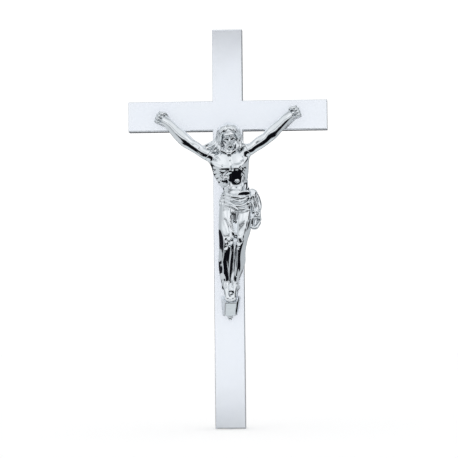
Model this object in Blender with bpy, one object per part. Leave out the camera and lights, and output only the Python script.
"""Processional cross head: a chrome-plated casing over a lapped wooden core, carrying a cast corpus.

Frame: millimetres here, turned into metres when a mesh is made. +Z is up, +X is to the right of
someone facing the cross, and the figure looks towards -Y. The origin is the centre of the staff
socket's mouth, in the flat bottom of the upright.
"""

import math

import bmesh
import bpy
from mathutils import Vector

MM = 0.001

# Cross: the driving dimensions
HEIGHT = 400.0
SPAN = 200.0
BAR = 30.0
DEPTH = 15.0
CROSSBAR_Z = 313.0
WALL = 1.0
EDGE_RADIUS = 1.0
GAP = 0.3

FRONT = -DEPTH / 2
BACK = DEPTH / 2
INNER = DEPTH / 2 - WALL
CORE = INNER - GAP
CORE_HALF = BAR / 2 - WALL - GAP

# Staff socket: a machined block that takes a square spigot, with a flange that closes the foot
BORE = 8.0
BORE_DEPTH = 40.0
SOCKET_WIDTH = 18.0
SOCKET_HEIGHT = 45.0
FLANGE = 2.0
FLANGE_SCREW_X = 11.4
SET_SCREW_Z = 22.0
SET_SCREW_R = 2.0

# Fasteners
PLATE_SCREW_R = 1.4
PLATE_SCREW_HEAD_R = 2.8
PLATE_SCREW_TIP = -3.0
PLATE_SCREWS = [(0, 62), (0, 180), (0, 245), (0, 378)]
PLATE_SCREWS += [(x, CROSSBAR_Z) for x in (-88, -40, 40, 88)]
LAP_SCREW_Z = CROSSBAR_Z
BODY_SCREW_R = 1.5
BODY_SCREW_HEAD_R = 2.9
WASHER_R = 3.4
COUNTERBORE_R = 3.8
COUNTERBORE_FLOOR = 2.6
CHEST_SCREW = (2.0, 262.0)
HIP_SCREW = (7.0, 224.0)
REST_SCREW = (0.0, 121.0)
NAIL_R = 0.9
NAIL_HEAD_R = 1.9
PIN_R = 1.25

# Corpus: the plane of its flat back, and the places that its pieces share
SEAT = FRONT - GAP
HAND_LEFT = Vector((-65.5, -12.2, 311.5))
HAND_RIGHT = Vector((66.3, -12.2, 313.8))
SHOULDER_LEFT = Vector((-18.5, -17.0, 273.5))
SHOULDER_RIGHT = Vector((20.5, -17.0, 277.5))
ARM_LEFT = Vector((-0.85, -0.02, 0.53)).normalized()
ARM_RIGHT = Vector((0.85, -0.02, 0.52)).normalized()
FEET = Vector((2.6, -20.0, 133.5))
FEET_AXIS = Vector((0, 0.86, -0.5)).normalized()

# Each station is x, y, z, half width, half depth. Torso and neck, from the hips up
TORSO = [
    (8.0, -15.0, 208, 15.0, 7.2),
    (8.0, -15.4, 218, 17.0, 8.0),
    (7.8, -15.2, 228, 15.8, 7.8),
    (7.8, -14.6, 236, 13.4, 7.0),
    (8.0, -14.4, 242, 12.0, 6.8),
    (5.2, -15.2, 250, 14.6, 8.2),
    (2.8, -16.2, 260, 17.8, 9.4),
    (2.0, -16.4, 268, 19.0, 9.4),
    (1.6, -16.6, 275, 17.5, 8.2),
    (1.8, -17.4, 280, 8.0, 6.0),
    (1.8, -19.4, 286, 5.4, 5.4),
]
LEFT_LEG = [
    (-0.4, -15.2, 222, 8.0, 7.0),
    (-1.2, -16.6, 208, 8.8, 8.0),
    (-1.4, -19.4, 196, 8.6, 7.6),
    (-0.8, -20.6, 187, 7.9, 6.6),
    (-2.2, -18.0, 172, 8.0, 6.4),
    (-2.0, -16.4, 158, 6.6, 5.6),
    (-1.6, -15.4, 147, 4.7, 4.3),
    (-1.8, -15.6, 139, 4.2, 4.2),
]
RIGHT_LEG = [
    (16.2, -15.2, 222, 8.2, 7.0),
    (16.0, -16.8, 208, 8.8, 8.0),
    (15.2, -20.0, 196, 7.6, 7.4),
    (13.6, -21.4, 187, 6.6, 6.4),
    (11.4, -18.8, 172, 6.0, 6.0),
    (9.6, -16.8, 158, 5.2, 5.4),
    (7.2, -15.6, 147, 3.6, 4.0),
    (5.9, -15.8, 139, 3.3, 3.9),
]
LEFT_FOOT = [(-1.8, -15.0, 141, 4.0, 3.9), (-0.6, -19.0, 133, 3.8, 3.2), (0.6, -23.2, 126.8, 3.6, 1.9)]
RIGHT_FOOT = [(5.9, -15.0, 141, 3.4, 3.8), (5.9, -19.0, 133, 3.6, 3.2), (5.6, -23.2, 126.8, 3.4, 1.9)]
LEFT_ARM = [
    (-12.0, -16.6, 270, 6.8, 6.2),
    (-21.0, -17.0, 274.4, 5.8, 6.0),
    (-29.8, -17.8, 279.5, 4.8, 5.0),
    (-37.0, -18.2, 284.2, 5.3, 5.2),
    (-45.0, -18.4, 291.2, 6.1, 5.2),
    (-53.4, -16.6, 299.8, 4.9, 4.4),
    (-58.8, -14.4, 305.2, 4.4, 3.8),
    (-62.5, -12.8, 308.8, 4.6, 3.4),
]
RIGHT_ARM = [
    (13.0, -16.6, 273, 6.8, 6.2),
    (22.4, -17.0, 278.8, 5.8, 6.0),
    (31.0, -17.8, 284.4, 5.3, 5.0),
    (38.6, -18.2, 290.0, 5.4, 5.2),
    (46.2, -18.4, 296.8, 6.1, 5.2),
    (53.8, -16.6, 303.2, 5.0, 4.4),
    (58.6, -14.4, 308.6, 4.8, 3.8),
    (62.8, -12.8, 311.6, 4.7, 3.4),
]
HEAD = (1.8, -22.0, 292.0)
HEAD_RADII = (10.2, 10.4, 12.6)
HAIR_LOCK_LEFT = [(-7.5, -19.0, 295, 5, 5), (-11.5, -18.0, 286, 5, 5), (-15.0, -18.5, 280, 4, 4)]
HAIR_LOCK_RIGHT = [(9.5, -19.0, 297, 4.5, 6), (12.0, -17.5, 286, 4, 5), (11.5, -17.5, 279, 3, 4)]
BEARD = [(2.2, -26.5, 286, 6.0, 5.0), (2.6, -26.0, 281, 4.5, 4.0), (2.8, -25.4, 278, 2.0, 2.0)]
KNOT = [
    (21.5, -15.5, 239, 3.4, 4.4),
    (26.5, -14.6, 233, 4.6, 4.8),
    (28.6, -14.0, 222, 4.4, 4.8),
    (29.0, -14.2, 211, 4.4, 4.8),
    (26.6, -14.6, 201, 4.6, 4.4),
]
FINGER_SPREAD = (-30, -10, 10, 30)

# Foot rest: a bracket that tapers down to a bead
REST_TOP, REST_BOTTOM = 132.0, 112.4
REST_BACK = (9.4, 6.4)
REST_FACE = (5.0, 5.0)
REST_FACE_X = (2.8, 0.6)
REST_FACE_Z = (125.4, 114.0)
REST_FACE_Y = (-21.5, -15.0)
BEAD_R = 2.5


# ---------------------------------------------------------------- materials


def finish(name, colour, metallic, roughness):
    """A Principled BSDF of one colour, made once."""
    found = bpy.data.materials.get(name)
    if found:
        return found
    made = bpy.data.materials.new(name)
    made.use_nodes = True
    shader = made.node_tree.nodes["Principled BSDF"]
    shader.inputs["Base Color"].default_value = (*colour, 1)
    shader.inputs["Metallic"].default_value = metallic
    shader.inputs["Roughness"].default_value = roughness
    return made


def chrome():
    return finish("chrome_plate", (0.86, 0.88, 0.91), 1.0, 0.06)


def cast_chrome():
    return finish("chrome_casting", (0.84, 0.86, 0.88), 1.0, 0.08)


def steel():
    return finish("plated_steel", (0.62, 0.62, 0.64), 1.0, 0.3)


def brass():
    return finish("brass", (0.78, 0.60, 0.30), 1.0, 0.3)


def beech():
    return finish("beech", (0.62, 0.42, 0.25), 0.0, 0.6)


# ---------------------------------------------------------------- shapes


def add_object(name, bm, look):
    """The bmesh, in millimetres, as a named object in metres."""
    bmesh.ops.recalc_face_normals(bm, faces=bm.faces)
    bmesh.ops.scale(bm, vec=(MM, MM, MM), verts=bm.verts)
    mesh = bpy.data.meshes.new(name)
    bm.to_mesh(mesh)
    bm.free()
    mesh.materials.append(look)
    mesh.shade_smooth()
    mesh.set_sharp_from_angle(angle=math.radians(35))
    obj = bpy.data.objects.new(name, mesh)
    bpy.context.scene.collection.objects.link(obj)
    return obj


def helper(name, bm):
    """A cutter: it isn't a piece of the object."""
    obj = add_object(name, bm, steel())
    obj.hide_render = True
    obj.display_type = "WIRE"
    return obj


def prism(outline, y_front, y_back):
    """A solid with this outline of (x, z) points, between two planes across Y."""
    bm = bmesh.new()
    face = bm.faces.new([bm.verts.new((x, y_front, z)) for x, z in outline])
    grown = bmesh.ops.extrude_face_region(bm, geom=[face])["geom"]
    moved = [v for v in grown if isinstance(v, bmesh.types.BMVert)]
    bmesh.ops.translate(bm, vec=(0, y_back - y_front, 0), verts=moved)
    return bm


def block(low, high):
    outline = [(low[0], low[2]), (high[0], low[2]), (high[0], high[2]), (low[0], high[2])]
    return prism(outline, low[1], high[1])


def cross_outline(inset, foot):
    """The cross seen from the front, drawn in by inset, with its foot at this height."""
    half, reach = BAR / 2 - inset, SPAN / 2 - inset
    low, high, top = CROSSBAR_Z - half, CROSSBAR_Z + half, HEIGHT - inset
    right = [(half, foot), (half, low), (reach, low), (reach, high), (half, high), (half, top)]
    return right + [(-x, z) for x, z in reversed(right)]


def add_rings(bm, rings):
    """Closes a skin over rings of points, with a flat cap at each end."""
    loops = [[bm.verts.new(point) for point in ring] for ring in rings]
    count = len(loops[0])
    for lower, upper in zip(loops, loops[1:]):
        for i in range(count):
            j = (i + 1) % count
            bm.faces.new((lower[i], lower[j], upper[j], upper[i]))
    bm.faces.new(list(reversed(loops[0])))
    bm.faces.new(loops[-1])


def turned(base, direction, profile, sides=16):
    """A solid of revolution: profile holds (radius, distance along direction from base)."""
    axis = Vector(direction).normalized()
    side = axis.orthogonal().normalized()
    other = axis.cross(side)
    rings = []
    for radius, along in profile:
        centre = Vector(base) + axis * along
        angles = [2 * math.pi * i / sides for i in range(sides)]
        rings.append([centre + (side * math.cos(a) + other * math.sin(a)) * radius for a in angles])
    bm = bmesh.new()
    add_rings(bm, rings)
    return bm


def rod(base, direction, radius, length, sides=16):
    return turned(base, direction, [(radius, 0), (radius, length)], sides)


def eased(stations, steps):
    """Stations on a smooth curve through the given ones (Catmull-Rom)."""
    made = []
    last = len(stations) - 1
    for i in range(last):
        p = [stations[max(0, min(last, i + k))] for k in (-1, 0, 1, 2)]
        for s in range(steps):
            t = s / steps
            weights = (
                (-t + 2 * t * t - t**3) / 2,
                (2 - 5 * t * t + 3 * t**3) / 2,
                (t + 4 * t * t - 3 * t**3) / 2,
                (t**3 - t * t) / 2,
            )
            made.append([sum(w * q[k] for w, q in zip(weights, p)) for k in range(5)])
    made.append(list(stations[last]))
    return made


def add_limb(bm, stations, around=16, steps=4):
    """A limb of elliptical sections, each square to the line through the stations."""
    line = eased(stations, steps)
    rings = []
    for i, (x, y, z, half_width, half_depth) in enumerate(line):
        here = Vector((x, y, z))
        before = Vector(line[max(0, i - 1)][:3])
        after = Vector(line[min(len(line) - 1, i + 1)][:3])
        along = (after - before).normalized()
        deep = Vector((0, 1, 0))
        deep = (deep - along * deep.dot(along)).normalized()
        wide = deep.cross(along)
        ring = []
        for k in range(around):
            a = 2 * math.pi * k / around
            ring.append(here + wide * half_width * math.cos(a) + deep * half_depth * math.sin(a))
        rings.append(ring)
    add_rings(bm, rings)


def add_ellipsoid(bm, centre, radii):
    made = bmesh.ops.create_uvsphere(bm, u_segments=20, v_segments=12, radius=1.0)["verts"]
    bmesh.ops.scale(bm, vec=radii, verts=made)
    bmesh.ops.translate(bm, vec=centre, verts=made)


# ---------------------------------------------------------------- modifiers


def cut(target, *cutters):
    for cutter in cutters:
        step = target.modifiers.new("cut_by_" + cutter.name, "BOOLEAN")
        step.operation = "DIFFERENCE"
        step.solver = "EXACT"
        step.object = cutter


def fuse(target, voxel, share):
    """Makes one skin of a mesh's overlapping shapes, and thins it to this share of its faces."""
    remesh = target.modifiers.new("fuse", "REMESH")
    remesh.mode = "VOXEL"
    remesh.voxel_size = voxel * MM
    soften = target.modifiers.new("soften", "SMOOTH")
    soften.iterations = 3
    thin = target.modifiers.new("thin", "DECIMATE")
    thin.ratio = share


def bake(obj):
    """The object's mesh with its modifiers applied."""
    bpy.context.view_layer.update()
    graph = bpy.context.evaluated_depsgraph_get()
    mesh = bpy.data.meshes.new_from_object(obj.evaluated_get(graph))
    obj.modifiers.clear()
    obj.data = mesh
    return mesh


def clearance(obj, gap=GAP):
    """A cutter of obj's baked shape, grown by the gap that neighbours keep."""
    mesh = obj.data.copy()
    for vertex in mesh.vertices:
        vertex.co = vertex.co + vertex.normal * gap * MM
    grown = bpy.data.objects.new(obj.name + "_clearance", mesh)
    bpy.context.scene.collection.objects.link(grown)
    grown.hide_render = True
    grown.display_type = "WIRE"
    return grown


# ---------------------------------------------------------------- the cross


def round_front_edges(bm):
    rim = [e for e in bm.edges if all(abs(v.co.y - FRONT) < 1e-6 for v in e.verts)]
    bmesh.ops.bevel(bm, geom=rim, offset=EDGE_RADIUS, segments=3, profile=0.5, affect="EDGES")


def hole(name, x, z, radius, y_from, y_to, sides=16):
    return helper(name, rod((x, y_from, z), (0, 1, 0), radius, y_to - y_from, sides))


def make_casing():
    """The pressed casing: the front and sides in one piece, open at the back and the foot."""
    bm = prism(cross_outline(0, 0), FRONT, BACK)
    round_front_edges(bm)
    casing = add_object("front_casing", bm, chrome())
    cut(casing, helper("casing_hollow", prism(cross_outline(WALL, -WALL), -INNER, BACK + WALL)))
    for name, place in (("left", HAND_LEFT), ("right", HAND_RIGHT)):
        cut(casing, hole(f"casing_nail_{name}", place.x, place.z, NAIL_R + GAP, FRONT - 1, -INNER + 1, 12))
    for name, (x, z) in (("chest", CHEST_SCREW), ("hip", HIP_SCREW), ("rest", REST_SCREW)):
        cut(casing, hole(f"casing_{name}", x, z, BODY_SCREW_R + GAP, FRONT - 1, -INNER + 1, 16))
    return casing


def make_back_plate():
    plate = add_object("back_plate", prism(cross_outline(WALL + GAP, 0), INNER, BACK), chrome())
    for i, (x, z) in enumerate(PLATE_SCREWS, 1):
        sink = turned(
            (x, BACK - 1.5, z),
            (0, 1, 0),
            [(PLATE_SCREW_HEAD_R - 1.2, 0), (PLATE_SCREW_HEAD_R + 0.3, 1.5), (PLATE_SCREW_HEAD_R + 0.3, 2.5)],
        )
        cut(plate, helper(f"countersink_{i}", sink))
    cut(plate, hole("set_screw_way", 0, SET_SCREW_Z, SET_SCREW_R + GAP, INNER - 1, BACK + 1))
    return plate


def make_cores():
    """Two beech laths, lapped to half their thickness where they cross."""
    lap_low, lap_high = CROSSBAR_Z - CORE_HALF - GAP, CROSSBAR_Z + CORE_HALF + GAP
    upright = add_object(
        "upright_core",
        block((-CORE_HALF, -CORE, FLANGE + GAP), (CORE_HALF, CORE, HEIGHT - WALL - GAP)),
        beech(),
    )
    cut(
        upright,
        helper("upright_lap", block((-BAR, -DEPTH, lap_low), (BAR, GAP / 2, lap_high))),
        helper(
            "socket_slot",
            block((-SOCKET_WIDTH / 2 - GAP, -DEPTH, 0), (SOCKET_WIDTH / 2 + GAP, DEPTH, SOCKET_HEIGHT + GAP)),
        ),
    )
    reach = SPAN / 2 - WALL - GAP
    crossbar = add_object(
        "crossbar_core",
        block((-reach, -CORE, CROSSBAR_Z - CORE_HALF), (reach, CORE, CROSSBAR_Z + CORE_HALF)),
        beech(),
    )
    side = CORE_HALF + GAP
    cut(crossbar, helper("crossbar_lap", block((-side, -GAP / 2, lap_low - 5), (side, DEPTH, lap_high + 5))))
    for i, (x, z) in enumerate(PLATE_SCREWS, 1):
        lath = upright if x == 0 else crossbar
        cut(lath, hole(f"pilot_{i}", x, z, PLATE_SCREW_R + GAP, PLATE_SCREW_TIP - 1, DEPTH, 12))
    for name, (x, z) in (("chest", CHEST_SCREW), ("hip", HIP_SCREW), ("rest", REST_SCREW)):
        way = turned(
            (x, -DEPTH, z),
            (0, 1, 0),
            [
                (BODY_SCREW_R + GAP, 0),
                (BODY_SCREW_R + GAP, DEPTH + COUNTERBORE_FLOOR),
                (COUNTERBORE_R, DEPTH + COUNTERBORE_FLOOR),
                (COUNTERBORE_R, 2 * DEPTH),
            ],
            16,
        )
        cut(upright, helper(f"counterbore_{name}", way))
    for name, place in (("left", HAND_LEFT), ("right", HAND_RIGHT)):
        cut(crossbar, hole(f"nail_way_{name}", place.x, place.z, NAIL_R + GAP, -DEPTH, 3, 12))
    lap_way = turned(
        (0, -4.0, LAP_SCREW_Z),
        (0, 1, 0),
        [(PLATE_SCREW_R + GAP, 0), (PLATE_SCREW_R + GAP, 8.2), (3.1, 9.6), (3.1, 12)],
        16,
    )
    lap_cutter = helper("lap_screw_way", lap_way)
    cut(upright, lap_cutter)
    cut(crossbar, lap_cutter)
    for x in (-FLANGE_SCREW_X, FLANGE_SCREW_X):
        way = rod((x, 0, 0), (0, 0, 1), 1.0 + GAP, 15, 12)
        cut(upright, helper(f"flange_pilot_{'left' if x < 0 else 'right'}", way))


def make_socket():
    """A block with a square bore for the staff's spigot, and a flange that closes the foot."""
    outline = [(-CORE_HALF, 0), (CORE_HALF, 0), (CORE_HALF, FLANGE), (SOCKET_WIDTH / 2, FLANGE)]
    outline += [(SOCKET_WIDTH / 2, SOCKET_HEIGHT), (-SOCKET_WIDTH / 2, SOCKET_HEIGHT)]
    outline += [(-SOCKET_WIDTH / 2, FLANGE), (-CORE_HALF, FLANGE)]
    socket = add_object("staff_socket", prism(outline, -CORE, CORE), brass())
    half = BORE / 2
    cut(socket, helper("socket_bore", block((-half, -half, -1), (half, half, BORE_DEPTH))))
    cut(socket, hole("set_screw_thread", 0, SET_SCREW_Z, SET_SCREW_R + 0.12, 0, DEPTH))
    for side, x in (("left", -FLANGE_SCREW_X), ("right", FLANGE_SCREW_X)):
        sink = turned((x, 0, -1), (0, 0, 1), [(2.2, 0), (2.2, 1.1), (1.15, 2.2), (1.15, 4)], 16)
        cut(socket, helper(f"flange_sink_{side}", sink))


# ---------------------------------------------------------------- fasteners


def countersunk_screw(head_r, shank_r, head_height, length, slot):
    """A slotted countersunk wood screw that points along -Z from its head's face, as a baked mesh."""
    tip = 2 * shank_r
    profile = [
        (0.1, -length),
        (shank_r, -length + tip),
        (shank_r, -head_height),
        (head_r, -0.15),
        (head_r, 0),
    ]
    screw = add_object("screw_pattern", turned((0, 0, 0), (0, 0, 1), profile, 12), steel())
    width, depth = slot
    cut(screw, helper("screw_slot", block((-head_r * 2, -width / 2, -depth), (head_r * 2, width / 2, 1))))
    return bake_and_drop(screw)


def bake_and_drop(obj):
    mesh = bake(obj)
    bpy.data.objects.remove(obj)
    return mesh


def place_copy(name, mesh, location, rotation):
    obj = bpy.data.objects.new(name, mesh)
    obj.location = Vector(location) * MM
    obj.rotation_euler = rotation
    bpy.context.scene.collection.objects.link(obj)
    return obj


FACING_BACK = (-math.pi / 2, 0, 0)
FACING_DOWN = (math.pi, 0, 0)


def make_plate_screws():
    mesh = countersunk_screw(PLATE_SCREW_HEAD_R, PLATE_SCREW_R, 1.4, BACK - 0.05 - PLATE_SCREW_TIP, (0.7, 0.6))
    for i, (x, z) in enumerate(PLATE_SCREWS, 1):
        place_copy(f"back_plate_screw_{i}", mesh, (x, BACK - 0.05, z), FACING_BACK)
    lap = countersunk_screw(2.7, PLATE_SCREW_R, 1.4, 8.8, (0.7, 0.6))
    place_copy("lap_screw", lap, (0, 5.4, LAP_SCREW_Z), FACING_BACK)
    small = countersunk_screw(1.9, 1.0, 0.9, 13, (0.5, 0.4))
    for side, x in (("left", -FLANGE_SCREW_X), ("right", FLANGE_SCREW_X)):
        place_copy(f"socket_flange_screw_{side}", small, (x, 0, 0.05), FACING_DOWN)


def make_set_screw():
    """The grub screw that grips the staff's spigot. Its origin is on its joint's axis."""
    tip, end = BORE / 2 + 0.1, BACK - 0.1
    profile = [(SET_SCREW_R - 0.6, 0), (SET_SCREW_R, 0.6), (SET_SCREW_R, end - tip - 0.3), (SET_SCREW_R - 0.3, end - tip)]
    screw = add_object("staff_set_screw", turned((0, 0, 0), (0, 1, 0), profile), steel())
    screw.location = Vector((0, tip, SET_SCREW_Z)) * MM
    key = helper("hex_key", rod((0, end - tip - 1.8, 0), (0, 1, 0), 1.15, 3, 6))
    key.location = screw.location
    cut(screw, key)


def make_body_screws():
    """Three pan-head screws from inside the back, each on its washer."""
    reach = {"chest": -17.0, "hip": -17.0, "rest": -14.0}
    places = {"chest": CHEST_SCREW, "hip": HIP_SCREW, "rest": REST_SCREW}
    names = {"chest": "corpus_chest_screw", "hip": "corpus_hip_screw", "rest": "foot_rest_screw"}
    seat = COUNTERBORE_FLOOR + 0.05
    top = seat + 0.6
    for key, (x, z) in places.items():
        washer = add_object(
            names[key] + "_washer", rod((x, seat, z), (0, 1, 0), WASHER_R, 0.6), steel()
        )
        cut(washer, hole(f"washer_hole_{key}", x, z, BODY_SCREW_R + 0.15, 0, DEPTH, 16))
        length = top + 0.05 - reach[key]
        profile = [
            (0.7, 0),
            (BODY_SCREW_R, 1.5),
            (BODY_SCREW_R, length),
            (BODY_SCREW_HEAD_R, length),
            (BODY_SCREW_HEAD_R, length + 1.2),
            (BODY_SCREW_HEAD_R - 0.9, length + 2.0),
        ]
        screw = add_object(names[key], turned((x, reach[key], z), (0, 1, 0), profile, 16), steel())
        slot = block((x - 5, top + 1.3, z - 0.4), (x + 5, DEPTH, z + 0.4))
        cut(screw, helper(f"slot_{key}", slot))


def make_nails():
    """Domed pins through the palms into the core, and through the feet into the foot rest."""
    dome = [(NAIL_R, 0.7), (NAIL_HEAD_R, 0.7), (NAIL_HEAD_R, 0.4), (1.3, -0.3), (0.5, -0.6)]
    for name, place, start, end in (
        ("nail_left_hand", HAND_LEFT, -16.6, 1.5),
        ("nail_right_hand", HAND_RIGHT, -16.6, 1.5),
    ):
        profile = [(0.3, end - start), (NAIL_R, end - start - 2), *dome]
        add_object(name, turned((place.x, start, place.z), (0, 1, 0), profile, 12), cast_chrome())
    length = 15
    profile = [(0.3, length), (NAIL_R, length - 2), *dome]
    start = Vector((FEET.x, FEET.y - 4.4, FEET.z + 1.4))
    add_object("nail_feet", turned(start, FEET_AXIS, profile, 12), cast_chrome())


# ---------------------------------------------------------------- the corpus


def shoulder_side(name, point, along, start):
    """A block that takes everything past a shoulder's joint face, on the arm's side."""
    bm = bmesh.new()
    side = along.orthogonal().normalized() * 14
    other = along.cross(side.normalized()).normalized() * 14
    rings = []
    for distance in (start, start + 40):
        centre = point + along * distance
        rings.append([centre + side + other, centre - side + other, centre - side - other, centre + side - other])
    add_rings(bm, rings)
    return helper(name, bm)


def make_body():
    """Torso, head, loincloth and legs, cast in one piece with a flat back."""
    bm = bmesh.new()
    add_limb(bm, TORSO, around=24)
    for limb in (LEFT_LEG, RIGHT_LEG, LEFT_FOOT, RIGHT_FOOT, HAIR_LOCK_LEFT, HAIR_LOCK_RIGHT, BEARD):
        add_limb(bm, limb)
    add_limb(bm, LEFT_ARM[:3])
    add_limb(bm, RIGHT_ARM[:3])
    add_ellipsoid(bm, HEAD, HEAD_RADII)
    body = add_object("corpus_body", bm, cast_chrome())
    fuse(body, 1.3, 0.13)
    cut(
        body,
        helper("seat_plane", block((-60, SEAT, 100), (60, 20, 330))),
        shoulder_side("past_left_shoulder", SHOULDER_LEFT, ARM_LEFT, 0),
        shoulder_side("past_right_shoulder", SHOULDER_RIGHT, ARM_RIGHT, 0),
    )
    bake(body)
    return body


def make_arm(name, stations, palm, spread_from, thumb, body_clearance):
    """An arm and its hand, with the fingers curled over the palm."""
    bm = bmesh.new()
    add_limb(bm, stations)
    add_ellipsoid(bm, palm, (4.4, 3.6, 4.4))
    for turn in FINGER_SPREAD:
        angle = math.radians(spread_from + turn)
        out = Vector((math.cos(angle), 0, math.sin(angle)))
        knuckle = palm + out * 3.4
        middle = palm + out * 6.4 + Vector((0, -1.4, 0))
        tip = palm + out * 4.6 + Vector((0, -4.0, 0))
        add_limb(bm, [(*knuckle, 1.3, 1.4), (*middle, 1.2, 1.3), (*tip, 1.0, 1.0)], 8, 2)
    tip = palm + Vector(thumb)
    add_limb(bm, [(*palm, 1.6, 1.6), (*(palm.lerp(tip, 0.6)), 1.5, 1.5), (*tip, 1.0, 1.0)], 8, 2)
    arm = add_object(name, bm, cast_chrome())
    fuse(arm, 0.9, 0.11)
    cut(
        arm,
        helper(name + "_seat", block((-90, SEAT, 250), (90, 20, 340))),
        body_clearance,
        hole(name + "_nail", palm.x, palm.z, NAIL_R + 0.15, -30, 5, 12),
    )
    return arm


def make_shoulder_pins(body, arms):
    """A steel dowel across each shoulder's joint face."""
    for side, point, along in (("left", SHOULDER_LEFT, ARM_LEFT), ("right", SHOULDER_RIGHT, ARM_RIGHT)):
        add_object(f"shoulder_dowel_{side}", rod(point - along * 5, along, PIN_R, 10, 12), steel())
        way = helper(f"dowel_way_{side}", rod(point - along * 5.2, along, PIN_R + 0.1, 10.4, 12))
        cut(body, way)
        cut(arms[side], way)


def make_knot(body_clearance):
    """The loincloth's knotted end, which hangs at the hip."""
    bm = bmesh.new()
    add_limb(bm, KNOT)
    knot = add_object("loincloth_knot", bm, cast_chrome())
    fuse(knot, 1.1, 0.14)
    cut(knot, body_clearance, helper("knot_seat", block((0, SEAT, 180), (60, 20, 260))))


def make_foot_rest(body_clearance):
    """A bracket, wide against the cross and narrow in front, that ends in a bead."""
    half_top, half_low = REST_BACK
    face_top, face_low = REST_FACE
    back = [(half_top, REST_TOP), (-half_top, REST_TOP), (-half_low, REST_BOTTOM), (half_low, REST_BOTTOM)]
    shift_top, shift_low = REST_FACE_X
    front = [
        (shift_top + face_top, REST_FACE_Z[0], REST_FACE_Y[0]),
        (shift_top - face_top, REST_FACE_Z[0], REST_FACE_Y[0]),
        (shift_low - face_low, REST_FACE_Z[1], REST_FACE_Y[1]),
        (shift_low + face_low, REST_FACE_Z[1], REST_FACE_Y[1]),
    ]
    bm = bmesh.new()
    add_rings(bm, [[(x, SEAT, z) for x, z in back], [(x, y, z) for x, z, y in front]])
    rest = add_object("foot_rest", bm, cast_chrome())
    bead_place = (0.2, SEAT - BEAD_R * 0.8, REST_BOTTOM - 2.2)
    bead = turned(
        (bead_place[0], bead_place[1], bead_place[2] + 3.6),
        (0, 0, -1),
        [(1.2, 0), (1.2, 1.6), (BEAD_R * 0.75, 2.4), (BEAD_R * 0.8, 3.8), (BEAD_R * 0.5, 5.2), (0.3, 5.8)],
        12,
    )
    join = rest.modifiers.new("bead", "BOOLEAN")
    join.operation = "UNION"
    join.object = helper("bead", bead)
    nail_way = rod(Vector((FEET.x, FEET.y - 8, FEET.z + 3.5)), FEET_AXIS, NAIL_R + 0.2, 20, 12)
    cut(
        rest,
        body_clearance,
        hole("rest_tapping", REST_SCREW[0], REST_SCREW[1], BODY_SCREW_R + 0.15, -14.6, 0, 16),
        helper("rest_nail_way", nail_way),
    )


def make_corpus():
    body = make_body()
    around_body = clearance(body)
    arms = {
        "left": make_arm("corpus_arm_left", LEFT_ARM, HAND_LEFT, 128, (-3.8, -2.0, -4.6), around_body),
        "right": make_arm("corpus_arm_right", RIGHT_ARM, HAND_RIGHT, 50, (3.0, -2.4, -5.0), around_body),
    }
    make_shoulder_pins(body, arms)
    for name, (x, z) in (("chest", CHEST_SCREW), ("hip", HIP_SCREW)):
        cut(body, hole(f"{name}_tapping", x, z, BODY_SCREW_R + 0.15, -17.6, 0, 16))
    start = Vector((FEET.x, FEET.y - 8.6, FEET.z + 3.8))
    cut(body, helper("feet_nail_way", rod(start, FEET_AXIS, NAIL_R + 0.15, 22, 12)))
    make_knot(around_body)
    make_foot_rest(around_body)


def clear_scene():
    for obj in list(bpy.data.objects):
        bpy.data.objects.remove(obj)


def main():
    clear_scene()
    make_casing()
    make_back_plate()
    make_cores()
    make_socket()
    make_plate_screws()
    make_set_screw()
    make_body_screws()
    make_nails()
    make_corpus()


main()
